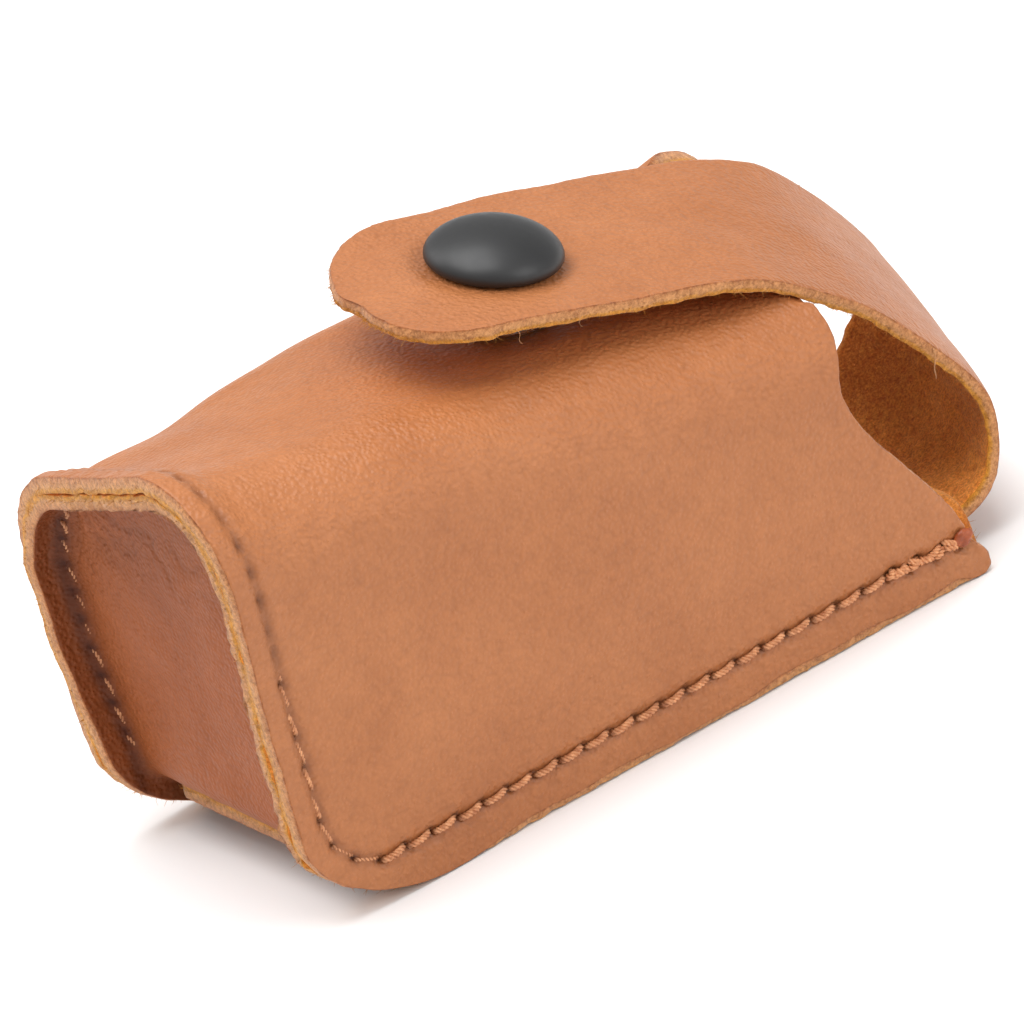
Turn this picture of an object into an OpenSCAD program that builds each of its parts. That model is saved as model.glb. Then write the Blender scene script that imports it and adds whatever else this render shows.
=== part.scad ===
// Snap-strap pick case: bent leather body, gusset with turned-out flanges,
// strap that loops round the open mouth and snaps down on the top.
// Millimetres. X runs from the closed end to the mouth, Y from front to back, Z up.
// Origin: centre of the footprint, on the plane the flanges stand on.

/* [Pouch] */
// Outside width, front face to back face
pouch_w = 33.7; // [28:0.1:40]
// Thickness of the leather
leather = 1.6; // [1.2:0.1:2.2]
// Length of the rounded lower corner of the closed end
corner_len = 14.5; // [6:0.5:20]
// Height of the rounded lower corner of the closed end
corner_r = 9.5; // [5:0.5:12]
// Length of the sides where the thumb scoop is deepest
scoop_x = 63.8; // [55:0.1:72]
// How much longer the sides are at the bottom
scoop_reach = 9.2; // [4:0.1:12]
// Height of the thumb scoop
scoop_h = 24; // [15:1:30]

/* [Gusset] */
// Depth of the recess in the closed end
end_inset = 3; // [2:0.1:5]
// Height of the floor's underside
floor_h = 4.7; // [4:0.1:7]
// Outside radius of the fold between the end wall and the floor
fold_r = 3.6; // [2:0.1:8]

/* [Strap] */
// Width of the strap
strap_w = 24; // [18:0.5:27]
// How far the back edge of the strap leads towards the mouth
strap_skew = 7; // [0:0.5:9]
// How far the back edge of the flap stands above its front edge
strap_tilt = 1.7; // [0:0.1:4]
// How far the back edge of the loop stands above its front edge
loop_tilt = 3.4; // [0:0.1:5]
// Extra lift of the back edge where the strap turns over the mouth
bend_lift = 0.9; // [0:0.1:2]
// Corner radius of the strap's tip
tip_r = 10; // [6:0.5:11]
// Gap between strap sections at each bending line
joint_gap = 0.3; // [0.2:0.05:0.5]

/* [Snap] */
// Diameter of the snap's cap
cap_d = 12.5; // [10:0.5:15]

/* [Stitching] */
// Distance between stitches
pitch = 2.8; // [2:0.1:4]
// Radius of the thread
thread_r = 0.34; // [0.2:0.02:0.5]

/* [Hidden] */
$fn = 48;
tan_leather = [0.75, 0.5, 0.33];
thread_colour = [0.52, 0.3, 0.18];
black_metal = [0.1, 0.1, 0.1];
bare_metal = [0.7, 0.7, 0.68];

// Heights of the front and back top corners, one for each 12 mm of length
front_top = [45.6, 42.8, 39.6, 36.2, 33.4, 29.9, 28.1, 27.6];
back_top = [34.9, 35.6, 37.6, 38.2, 37.1, 34.2, 42.2, 43];
front_r = 9;
back_r = 7;
seam_h = 4.2;
seam_x = 2.6;
seam_r = 6;
flange_in = 2 * leather + 0.05;

// Bending line of the strap's grain side, from the cut end under the pouch to the tip
strap_line = [[-20, 3], [5.1, 3], [30, 3], [55, 3], [68, 2.9], [75.2, 3], [80.6, 5.4],
    [83.9, 9.4], [84.5, 13.4], [82.3, 18.2], [78, 24.5], [73.2, 29.4], [67, 33.8],
    [60, 36.8], [52, 39.5], [44, 41.9], [36, 43.7], [30.4, 44.7], [24, 45.7]];
loop_at = 8;
flap_at = 12.4;
snap_at = 15.14;
tip_at = 17.25;
strap_y = pouch_w / 2;

// Smooth curve through a list of points, u counts points from the start
function spline(p, u) =
    let (n = len(p) - 1, i = min(max(floor(u), 0), n - 1), t = u - i,
        a = p[max(i - 1, 0)], b = p[i], c = p[i + 1], d = p[min(i + 2, n)])
    0.5 * (2 * b + (c - a) * t + (2 * a - 5 * b + 4 * c - d) * t * t + (3 * b - a - 3 * c + d) * t * t * t);
function clamp(v) = min(max(v, 0), 1);
function ease(v) = let (t = clamp(v)) t * t * (3 - 2 * t);
function unit(v) = v / norm(v);

// Cross-section of the body at length x, set in from the outside by off
function collar(x) = 1.3 * (1 - ease((x - leather - end_inset) / 4.5));
function top_f(x) = spline(front_top, max(x, end_inset + leather) / 12) + collar(x);
function top_b(x) = spline(back_top, max(x, end_inset + leather) / 12) + collar(x);
function lean(x) = atan((top_b(x) - top_f(x)) / pouch_w);
function fc(x) = [front_r, top_f(x) + front_r * tan(lean(x)) - front_r / cos(lean(x))];
function bc(x) = [pouch_w - back_r, top_b(x) - back_r * tan(lean(x)) - back_r / cos(lean(x))];
wall_n = 16;
arc_n = 9;
top_n = 6;
sec_n = 2 * wall_n + 2 * arc_n + top_n + 1;
function wall_h(k, top) = k <= 8 ? corner_r * (1 - cos(k * 90 / 8))
    : corner_r + (top - corner_r) * (k - 8) / (wall_n - 8);
function on_arc(c, r, a) = [c[0] + r * cos(a), c[1] + r * sin(a)];
function sec(x, k, off) =
    let (a = 90 + lean(x), f = fc(x), b = bc(x))
    k <= wall_n ? [off, wall_h(k, f[1])]
    : k <= wall_n + arc_n ? on_arc(f, front_r - off, 180 - (180 - a) * (k - wall_n) / arc_n)
    : k <= wall_n + arc_n + top_n ? let (t = (k - wall_n - arc_n) / top_n)
        on_arc(f, front_r - off, a) * (1 - t) + on_arc(b, back_r - off, a) * t
    : k <= wall_n + 2 * arc_n + top_n ? on_arc(b, back_r - off, a * (1 - (k - wall_n - arc_n - top_n) / arc_n))
    : [pouch_w - off, wall_h(sec_n - 1 - k, b[1])];
function start_x(h) = h < corner_r ? corner_len * (1 - sqrt(max(0, 1 - pow(1 - h / corner_r, 2)))) : 0;
function scoop(h) = scoop_x + scoop_reach * (0.5 + 0.5 * cos(180 * clamp((h - 1) / scoop_h)))
    + 0.8 * (1 - ease((h - 1.6) / 1.6));
function end_x(y, h) = scoop(h) + 6.6 * ease((y - 29.3) / 3.4) * ease((h - 22) / 10)
    + 2.2 * ease((h - 22) / 7) * (1 - ease((y - 3.9) / 1.4));
function wrap_at(u, k, off) =
    let (p = sec(u * 68, k, off), x = start_x(p[1]) + u * (end_x(p[0], p[1]) - start_x(p[1])),
        q = sec(x, k, off), xs = start_x(q[1]))
    [xs + u * (end_x(q[0], q[1]) - xs), q[0], q[1]];

// Strap: bending line, cross direction and grain-side normal
function cross_dir(u) =
    let (s = ease((u - 4) / 3.6), top = loop_tilt + bend_lift,
        rise = loop_tilt + bend_lift * ease((u - 8.5) / 1.5) - (top - strap_tilt) * ease((u - 10.8) / 2.4))
    unit([strap_skew * s, strap_w, rise * s]);
function heading(u) = let (d = spline(strap_line, u + 0.02) - spline(strap_line, u - 0.02)) unit([d[0], 0, d[1]]);
function grain(u) = let (p = spline(strap_line, u)) [p[0], strap_y, p[1]];
function gap_u(u) = joint_gap / 2 / (norm(grain(u + 0.02) - grain(u - 0.02)) / 0.04);
function tip_gap(u) = u < 14 ? 99 : norm(grain(tip_at) - grain(u));
function half_w(u) = let (d = tip_gap(u), h = strap_w / 2)
    d >= tip_r ? h : h - tip_r + sqrt(max(0, tip_r * tip_r - pow(tip_r - d, 2)));
x_max = max([for (k = [0 : 60]) let (u = 6 + k / 20) grain(u)[0] + cross_dir(u)[0] * strap_w / 2]);
mid = [-x_max / 2, -pouch_w / 2, 0];

module place() {
    translate(mid) children();
}

// Six-sided rod from point a to point b, made longer by over at both ends
module rod(a, b, r, over = 0) {
    d = unit(b - a);
    translate(a - d * over)
        rotate([0, acos(d[2]), atan2(d[1], d[0])])
            cylinder(h = norm(b - a) + 2 * over, r = r, $fn = 6);
}

// Local frame of the snap: Z along its axis, zero on the strap's grain side
module on_snap() {
    n = snap_axis;
    translate(grain(snap_at))
        rotate([0, acos(n[2]), atan2(n[1], n[0])])
            children();
}
snap_axis = let (c = cross(cross_dir(snap_at), heading(snap_at))) unit(c[2] > 0 ? c : -c);

// Body cross-section as a prism along X from x0 to x1, shape taken at the closed end
module end_prism(off, x0, x1, low) {
    translate([x0, 0, 0])
        rotate([90, 0, 90])
            linear_extrude(height = x1 - x0)
                polygon(concat([for (k = [0 : sec_n - 1]) let (p = sec(0, k, off)) [p[0], max(p[1], low)]]));
}

// Side outline set in from the end by dx and from the bottom by dz, as a prism along Y
// The corner is rounded over the length rx and the height r
module side_prism(dx, dz, rx, r, y0, y1, x1) {
    translate([0, y1, 0])
        rotate([90, 0, 0])
            linear_extrude(height = y1 - y0)
                polygon(concat(
                    [for (k = [0 : 12]) [dx + rx * (1 - cos(90 * k / 12)), dz + r * (1 - sin(90 * k / 12))]],
                    [[x1, dz], [x1, 60], [dx, 60]]));
}

module wrap_panel() {
    un = 36;
    rows = sec_n;
    half = (un + 1) * rows;
    pts = concat([for (i = [0 : un], k = [0 : rows - 1]) wrap_at(i / un, k, 0)],
        [for (i = [0 : un], k = [0 : rows - 1]) wrap_at(i / un, k, leather)]);
    a = function (i, k) i * rows + k;
    b = function (i, k) half + i * rows + k;
    tri = concat(
        [for (i = [0 : un - 1], k = [0 : rows - 2]) each
            [[a(i, k), a(i + 1, k + 1), a(i + 1, k)], [a(i, k), a(i, k + 1), a(i + 1, k + 1)]]],
        [for (i = [0 : un - 1], k = [0 : rows - 2]) each
            [[b(i, k), b(i + 1, k), b(i + 1, k + 1)], [b(i, k), b(i + 1, k + 1), b(i, k + 1)]]],
        [for (k = [0 : rows - 2]) each
            [[a(0, k), b(0, k), b(0, k + 1)], [a(0, k), b(0, k + 1), a(0, k + 1)],
             [a(un, k), b(un, k + 1), b(un, k)], [a(un, k), a(un, k + 1), b(un, k + 1)]]],
        [for (i = [0 : un - 1]) each
            [[a(i, 0), b(i + 1, 0), b(i, 0)], [a(i, 0), a(i + 1, 0), b(i + 1, 0)],
             [a(i, rows - 1), b(i, rows - 1), b(i + 1, rows - 1)],
             [a(i, rows - 1), b(i + 1, rows - 1), a(i + 1, rows - 1)]]]);
    color(tan_leather)
        place()
            difference() {
                polyhedron(points = pts, faces = tri, convexity = 6);
                on_snap() translate([0, 0, -9]) cylinder(h = 5, r = 1.6);
            }
}

// One strip of leather bent into a tray: end wall, floor and flanges turned outwards
module gusset() {
    out = leather + 0.05;
    web = end_inset + leather;
    floor_top = floor_h + leather;
    color(tan_leather)
        place()
            difference() {
                intersection() {
                    end_prism(out, 0, 73.6, 0);
                    side_prism(0, 0, corner_len, corner_r, 0, pouch_w, 73.6);
                }
                side_prism(web, floor_top, fold_r - leather, fold_r - leather, 0, pouch_w, 90);
                intersection() {
                    end_prism(flange_in, -1, 90, -1);
                    difference() {
                        translate([-2, flange_in, -2]) cube([92, pouch_w - 2 * flange_in, 60]);
                        side_prism(end_inset, floor_h, fold_r, fold_r, 0, pouch_w, 95);
                    }
                }
            }
}

// Part of the strap swept as a thick ribbon through the stations st
module ribbon(st) {
    n = len(st) - 1;
    pts = [for (u = st) let (p = grain(u), w = cross_dir(u) * half_w(u), t = heading(u),
            inside = unit(cross(t, cross_dir(u))) * leather)
        each [p - w, p + w, p + w + inside, p - w + inside]];
    tri = concat(
        [for (i = [0 : n - 1], k = [0 : 3]) each
            [[4 * i + k, 4 * i + (k + 1) % 4, 4 * i + 4 + (k + 1) % 4],
             [4 * i + k, 4 * i + 4 + (k + 1) % 4, 4 * i + 4 + k]]],
        [[3, 2, 1, 0], [4 * n, 4 * n + 1, 4 * n + 2, 4 * n + 3]]);
    polyhedron(points = pts, faces = tri, convexity = 4);
}

module strap_base() {
    color(tan_leather)
        place()
            ribbon(concat([1], [for (k = [0 : 20]) 4 + (loop_at - gap_u(loop_at) - 4) * k / 20]));
}

module strap_loop() {
    a = loop_at + gap_u(loop_at);
    b = flap_at - gap_u(flap_at);
    color(tan_leather)
        place()
            ribbon([for (k = [0 : 24]) a + (b - a) * k / 24]);
}

module strap_flap() {
    a = flap_at + gap_u(flap_at);
    b = tip_at - 0.004;
    color(tan_leather)
        place()
            difference() {
                ribbon([for (k = [0 : 40]) a + (b - a) * sin(90 * k / 40)]);
                on_snap() translate([0, 0, -4]) cylinder(h = 6, r = 1.8);
            }
}

module snap_cap() {
    r = cap_d / 2;
    color(black_metal)
        place()
            on_snap()
                rotate_extrude()
                    polygon(concat([[0, 0.1], [0, 2.4]],
                        [for (k = [1 : 10]) [(r - 0.45) * k / 10, 2.4 - 1.2 * pow(k / 10, 2.4)]],
                        [[r - 0.15, 0.95], [r, 0.6], [r - 0.1, 0.25], [r - 0.4, 0.1], [1.7, 0.1],
                         [1.7, -2.4], [2.5, -2.5], [2.5, -2.7], [0, -2.7]]));
}

module snap_socket() {
    color(bare_metal)
        place()
            on_snap()
                rotate_extrude()
                    polygon([[1.75, -1.7], [5.1, -1.7], [5.5, -2.1], [5.2, -3.6], [4.6, -4],
                        [3.6, -4], [3.6, -3.75], [4.1, -3.7], [4.1, -3.1], [3.6, -3],
                        [3.6, -2.1], [2, -2.1], [1.75, -2.1]]);
}

module snap_spring() {
    color(bare_metal)
        place()
            on_snap()
                translate([0, 0, -3.4])
                    rotate_extrude()
                        translate([3.75, 0])
                            circle(r = 0.22, $fn = 24);
}

module snap_stud() {
    color(bare_metal)
        place()
            on_snap()
                rotate_extrude()
                    polygon([[1.35, -5.2], [5, -5.2], [5.2, -4.9], [4.8, -4.6], [2.9, -4.5],
                        [2.6, -4.2], [2.6, -3.7], [2.8, -3.4], [2.5, -3.05], [0, -2.95],
                        [0, -3.3], [1.35, -3.4]]);
}

module stud_post() {
    color(black_metal)
        place()
            on_snap()
                rotate_extrude()
                    polygon([[0.8, -7.5], [3.9, -7.5], [4.2, -7.2], [3.9, -6.95], [1.3, -6.9],
                        [1.3, -3.8], [0.8, -3.8]]);
}

// Lockstitch: holes through two layers, thread runs on both faces
// q[0] is the point on the outer face, q[1] the direction out of the leather
module lockstitch(q) {
    lift = 0.85 * thread_r;
    deep = flange_in + lift;
    for (p = q)
        rod(p[0] - p[1] * deep, p[0] + p[1] * lift, thread_r * 0.8);
    for (k = [0 : len(q) - 2]) {
        rod(q[k][0] + q[k][1] * lift, q[k + 1][0] + q[k + 1][1] * lift, thread_r, 0.12);
        rod(q[k][0] - q[k][1] * deep, q[k + 1][0] - q[k + 1][1] * deep, thread_r, 0.12);
    }
}

function side_y(back) = back ? pouch_w : 0;
function side_n(back) = [0, back ? 1 : -1, 0];
// Seam path on a side face: along the bottom, round the corner, up the closed end
function bottom_seam(back) = [for (k = [0 : 20]) [[7.2 + pitch * k, side_y(back), seam_h], side_n(back)]];
corner_c = [seam_x + seam_r, seam_h + seam_r];
function end_seam(back, top) = let (n = floor((top - corner_c[1]) / pitch)) concat(
    [for (a = [40, 67]) [[corner_c[0] - seam_r * sin(a), side_y(back), corner_c[1] - seam_r * cos(a)],
        side_n(back)]],
    [for (k = [0 : n]) [[seam_x, side_y(back), corner_c[1] + 0.3 + pitch * k], side_n(back)]]);
// Seam across the top of the closed end, following the cross-section
function top_seam() = [for (k = [wall_n + 1 : 2 : wall_n + 2 * arc_n + top_n - 1])
    let (a = sec(0, k - 1, 0), b = sec(0, k + 1, 0), p = sec(0, k, 0), d = unit([0, a[1] - b[1], b[0] - a[0]]))
    [[seam_x, p[0], p[1]], d]];

module seam(q) {
    color(thread_colour)
        place()
            lockstitch(q);
}

module seam_front() {
    seam(bottom_seam(false));
}

module seam_front_end() {
    seam(end_seam(false, 36.5));
}

module seam_top() {
    seam(top_seam());
}

module seam_back_end() {
    seam(end_seam(true, 31.5));
}

module seam_back() {
    seam(bottom_seam(true));
}

// Doubled stitches where a seam ends at the mouth
module bartack(back) {
    n = side_n(back);
    q = [for (k = [0 : 3]) [64 + 2.4 * k, side_y(back), seam_h - 0.1 * k]];
    color(thread_colour)
        place() {
            for (k = [0 : 2]) {
                rod(q[k] + n * 0.3 + [0, 0, 0.3], q[k + 1] + n * 0.3 + [0, 0, 0.3], thread_r);
                rod(q[k] + n * 0.32 - [0, 0, 0.3], q[k + 1] + n * 0.32 - [0, 0, 0.3], thread_r * 1.05);
            }
            for (p = q) {
                translate(p + n * 0.2) sphere(r = 0.78, $fn = 12);
                rod(p - n * flange_in, p, thread_r * 1.2);
            }
        }
}

module bartack_front() {
    bartack(false);
}

module bartack_back() {
    bartack(true);
}

// Melted bead that locks the end of the thread
module thread_end(back) {
    color(thread_colour)
        place()
            translate([72.1, side_y(back), seam_h - 0.35] + side_n(back) * 0.1)
                sphere(r = 0.8);
}

module thread_end_front() {
    thread_end(false);
}

module thread_end_back() {
    thread_end(true);
}

wrap_panel();
gusset();
strap_base();
strap_loop();
strap_flap();
snap_cap();
snap_socket();
snap_spring();
snap_stud();
stud_post();
seam_front();
seam_front_end();
seam_top();
seam_back_end();
seam_back();
bartack_front();
bartack_back();
thread_end_front();
thread_end_back();
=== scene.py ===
import math
import bmesh
import bpy
import numpy as np
from mathutils import Matrix, Vector


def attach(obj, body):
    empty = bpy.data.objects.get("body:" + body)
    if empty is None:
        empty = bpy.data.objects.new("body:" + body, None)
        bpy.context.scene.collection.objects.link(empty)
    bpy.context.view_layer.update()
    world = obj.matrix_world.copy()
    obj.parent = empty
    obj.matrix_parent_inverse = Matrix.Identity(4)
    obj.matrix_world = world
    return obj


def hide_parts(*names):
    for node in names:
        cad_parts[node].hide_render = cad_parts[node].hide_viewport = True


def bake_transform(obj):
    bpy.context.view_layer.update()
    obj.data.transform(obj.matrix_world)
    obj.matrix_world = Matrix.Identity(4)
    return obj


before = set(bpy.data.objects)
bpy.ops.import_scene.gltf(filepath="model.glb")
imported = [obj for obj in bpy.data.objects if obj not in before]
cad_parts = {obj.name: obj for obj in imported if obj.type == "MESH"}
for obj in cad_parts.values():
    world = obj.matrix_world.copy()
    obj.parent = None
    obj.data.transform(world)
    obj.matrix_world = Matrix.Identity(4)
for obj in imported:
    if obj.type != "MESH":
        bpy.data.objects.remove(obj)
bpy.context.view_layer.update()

# ------------------------------------------------------------------ shape of the case, mm
W = 33.7
TH = 1.6
CORNER_R, CORNER_L = 9.5, 14.5
END_IN = 3.0
FLOOR_H = 4.7
FLANGE = 2 * TH + 0.05
FOLD_R = 3.6
PITCH = 2.8
SEAM_H = 4.2
SEAM_X = 2.6
MOUTH_X, MOUTH_DROP = 63.8, 9.2
RIM_R = 0.9
X_MID = 87.9402 / 2
FRONT_TOP = np.array([45.6, 42.8, 39.6, 36.2, 33.4, 29.9, 28.1, 27.6])
BACK_TOP = np.array([34.9, 35.6, 37.6, 38.2, 37.1, 37.0, 40.6, 40.6])
FRONT_R, BACK_R = 9.0, 7.0
STRAP = np.array([[-20, 3], [5.1, 3], [30, 3], [55, 3], [68, 2.9], [75.2, 3], [80.6, 5.4],
                  [83.9, 9.4], [84.5, 13.4], [82.3, 18.2], [78.05, 24.6], [73.35, 29.6], [67.1, 34.0],
                  [60.1, 36.95], [52, 39.5], [44, 41.9], [36, 43.7], [30.4, 44.7], [24, 45.7]], float)
LOOP_AT, FLAP_AT, SNAP_AT, TIP_AT = 8.0, 12.4, 15.14, 17.25


def spline(p, u):
    p = np.asarray(p, float)
    u = np.asarray(u, float)
    n = len(p) - 1
    i = np.clip(np.floor(u).astype(int), 0, n - 1)
    t = u - i
    if p.ndim > 1:
        t = t[..., None]
    a, b, c, d = p[np.maximum(i - 1, 0)], p[i], p[i + 1], p[np.minimum(i + 2, n)]
    return 0.5 * (2 * b + (c - a) * t + (2 * a - 5 * b + 4 * c - d) * t ** 2 + (3 * b - a - 3 * c + d) * t ** 3)


def ease(v):
    t = np.clip(v, 0, 1)
    return t * t * (3 - 2 * t)


def unit(v):
    v = np.asarray(v, float)
    return v / np.maximum(np.linalg.norm(v, axis=-1, keepdims=True), 1e-12)


def to_frame(p):
    p = np.asarray(p, float)
    return (p - np.array([X_MID, W / 2, 0])) / 1000


def waves(p, size, seed, n=14):
    """Smooth random field with features of about that size, mm, and unit spread."""
    r = np.random.RandomState(seed)
    k = unit(r.normal(size=(n, 3))) * (2 * math.pi / size) * r.uniform(0.6, 1.5, (n, 1))
    ph = r.uniform(0, 2 * math.pi, n)
    return np.cos(p @ k.T + ph).sum(-1) * math.sqrt(2 / n)


def collar(x):
    return 1.3 * (1 - ease((x - 2.2) / 3.4))


def top_f(x):
    return spline(FRONT_TOP, np.maximum(x, END_IN + TH) / 12) + collar(x)


def top_b(x):
    return spline(BACK_TOP, np.maximum(x, END_IN + TH) / 12) + collar(x)


def sec(x, s, off=0.0):
    """Outside of the body at length x; s runs 0..5 from front bottom over the top to back bottom."""
    x, s = np.broadcast_arrays(np.asarray(x, float), np.asarray(s, float))
    tf, tb = top_f(x), top_b(x)
    lean = np.arctan((tb - tf) / W)
    fc = np.stack([np.full_like(x, FRONT_R), tf + FRONT_R * np.tan(lean) - FRONT_R / np.cos(lean)], -1)
    bc = np.stack([np.full_like(x, W - BACK_R), tb - BACK_R * np.tan(lean) - BACK_R / np.cos(lean)], -1)
    a = math.pi / 2 + lean

    def wall(t, top):
        low = CORNER_R * (1 - np.cos(np.clip(t / 0.4, 0, 1) * math.pi / 2))
        return np.where(t < 0.4, low, CORNER_R + (top - CORNER_R) * np.clip((t - 0.4) / 0.6, 0, 1))

    def arc(c, r, ang):
        return c + (r - off) * np.stack([np.cos(ang), np.sin(ang)], -1)

    t = s - np.floor(s)
    out = np.stack([np.full_like(x, off), wall(np.clip(s, 0, 1), fc[..., 1])], -1)
    out = np.where((s > 1)[..., None], arc(fc, FRONT_R, math.pi - (math.pi - a) * np.clip(s - 1, 0, 1)), out)
    f2, b2, tt = arc(fc, FRONT_R, a), arc(bc, BACK_R, a), np.clip(s - 2, 0, 1)[..., None]
    out = np.where((s > 2)[..., None], f2 * (1 - tt) + b2 * tt, out)
    out = np.where((s > 3)[..., None], arc(bc, BACK_R, a * (1 - np.clip(s - 3, 0, 1))), out)
    back = np.stack([np.full_like(x, W - off), wall(np.clip(5 - s, 0, 1), bc[..., 1])], -1)
    return np.where((s > 4)[..., None], back, out)


def flare(p, layer=0.0):
    """The back flange of the closed end leans outwards between its corner and its top."""
    x, y, h = p[..., 0], p[..., 1], p[..., 2]
    g = np.interp(h, [4, 9, 15, 20, 28, 34, 37], [0, 0.25, 0.9, 1.3, 1.3, 0.3, 0])
    k = ease((7.2 - x) / 6.2)
    out = p.copy()
    k = g * k * ease((y - W / 2 - 6) / 7)
    out[..., 1] = y + (2.0 - 0.3 * np.minimum(layer, 0)) * k
    out[..., 0] = x + 0.25 * layer * k * k
    return out


def start_x(h):
    """Closed-end edge of the sides, rounded off at its lower corner."""
    return np.where(h < CORNER_R, CORNER_L * (1 - np.sqrt(np.maximum(0, 1 - (1 - h / CORNER_R) ** 2))), 0)


def end_x(y, h):
    """Mouth edge: longest at the bottom, scooped above, with a lobe at the back top corner."""
    scoop = (MOUTH_X + MOUTH_DROP * (0.5 + 0.5 * np.cos(math.pi * np.clip((h - 1) / 24, 0, 1)))
             + 0.9 * (1 - ease((h - 1.9) / 1.5)) - 0.35)
    front_lip = 2.2 * ease((h - 22) / 7) * (1 - ease((y - 11) / 8))
    back_lobe = 10.5 * ease((y - 28.3) / 2.4) * ease((h - 20) / 10) * (1 - 0.9 * ease((h - 32) / 7))
    corner = np.sqrt(np.clip(1 - ((RIM_R - h) / RIM_R) ** 2, 0, 1))
    return scoop + front_lip + back_lobe - np.where(h < RIM_R, RIM_R * (1 - corner), 0)


def wrap_point(u, s, off=0.0):
    """Outside of the wrap panel; u runs 0..1 from the closed end to the mouth."""
    p = sec(u * 68, s, off)
    x = start_x(p[..., 1]) + u * (end_x(p[..., 0], p[..., 1]) - start_x(p[..., 1]))
    q = sec(x, s, off)
    xs = start_x(q[..., 1])
    return np.concatenate([(xs + u * (end_x(q[..., 0], q[..., 1]) - xs))[..., None], q], -1)


def cross_dir(u):
    """Direction across the strap; it is skewed forward and tilted where it runs free."""
    u = np.asarray(u, float)
    s = ease((u - 4) / 3.6)
    rise = 3.4 + 0.9 * ease((u - 8.5) / 1.5) - 2.6 * ease((u - 10.8) / 2.4)
    return unit(np.stack([7 * s, np.full_like(s, 24.0), rise * s], -1))


def strap_point(u):
    p = spline(STRAP, u)
    return np.stack([p[..., 0], np.full_like(p[..., 0], W / 2), p[..., 1]], -1)


def heading(u):
    d = strap_point(np.asarray(u) + 0.02) - strap_point(np.asarray(u) - 0.02)
    return unit(d)


SNAP_N = unit(np.cross(cross_dir(SNAP_AT), heading(SNAP_AT)))
if SNAP_N[2] < 0:
    SNAP_N = -SNAP_N
SNAP_C = strap_point(SNAP_AT)

# ------------------------------------------------------------------ seams: holes and outward normals
SEAM_R = 6.0
CC = (SEAM_X + SEAM_R, SEAM_H + SEAM_R)


def side_seam(back):
    y, n = (W, [0, 1, 0]) if back else (0.0, [0, -1, 0])
    bottom = [([7.2 + PITCH * k, y, SEAM_H], n) for k in range(20, -1, -1)]
    turn = [([CC[0] - SEAM_R * math.sin(math.radians(a)), y, CC[1] - SEAM_R * math.cos(math.radians(a))], n)
            for a in (40, 67)]
    top = 36.5 if not back else 31.5
    up = [([SEAM_X, y, CC[1] + 0.3 + PITCH * k], n) for k in range(int((top - CC[1]) / PITCH) + 1)]
    return bottom, turn + up


def top_seam(h0, h1):
    s = np.linspace(0.4, 4.6, 1600)
    p = sec(np.zeros_like(s), s)
    keep = ((s < 2.5) & (p[:, 1] > h0)) | ((s >= 2.5) & (p[:, 1] > h1))
    p = p[keep]
    run = np.r_[0, np.cumsum(np.linalg.norm(np.diff(p, axis=0), axis=1))]
    n = int(round(run[-1] / PITCH))
    out = []
    for k in range(1, n):
        d = run[-1] * k / n
        q = np.array([np.interp(d, run, p[:, 0]), np.interp(d, run, p[:, 1])])
        a = np.array([np.interp(d - 0.3, run, p[:, 0]), np.interp(d - 0.3, run, p[:, 1])])
        b = np.array([np.interp(d + 0.3, run, p[:, 0]), np.interp(d + 0.3, run, p[:, 1])])
        t = unit(b - a)
        out.append(([SEAM_X, q[0], q[1]], [0, -t[1], t[0]]))
    return out


f_bottom, f_end = side_seam(False)
b_bottom, b_end = side_seam(True)
t_seam = top_seam(f_end[-1][0][2], b_end[-1][0][2])
TACK = {side: [([64 + 1.35 * k + 0.25 * (k % 2), 0.0 if side == "front" else W,
                 SEAM_H - 0.08 * k + 0.28 * (-1) ** k], [0, -1 if side == "front" else 1, 0]) for k in range(7)]
        for side in ("front", "back")}
ALL_HOLES = np.array([hole[0] for hole in TACK["front"][::-1] + f_bottom + f_end + t_seam
                      + b_end[::-1] + b_bottom[::-1] + TACK["back"]], float)


def seam_fields(p):
    """Distance to the seam, distance to the nearest hole, and phase along the stitches."""
    a, b = ALL_HOLES[:-1], ALL_HOLES[1:]
    best = np.full(len(p), 1e9)
    phase = np.zeros(len(p))
    for k in range(len(a)):
        ab = b[k] - a[k]
        t = np.clip(((p - a[k]) @ ab) / (ab @ ab), 0, 1)
        d = np.linalg.norm(p - (a[k] + t[:, None] * ab), axis=1)
        m = d < best
        best[m] = d[m]
        phase[m] = t[m]
    hole = np.min([np.linalg.norm(p - h, axis=1) for h in ALL_HOLES], axis=0)
    return best, hole, phase


# ------------------------------------------------------------------ meshes
SHOULDER = 0.12


def grid_faces(rows, cols):
    i, j = np.meshgrid(np.arange(rows - 1), np.arange(cols - 1), indexing="ij")
    a = (i * cols + j).ravel()
    return np.stack([a, a + cols, a + cols + 1, a + 1], -1)


def normals(v, f):
    n = np.zeros_like(v)
    d1, d2 = v[f[:, 2]] - v[f[:, 0]], v[f[:, 3]] - v[f[:, 1]]
    fn = np.cross(d1, d2)
    for k in range(4):
        np.add.at(n, f[:, k], fn)
    return unit(n)


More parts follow.
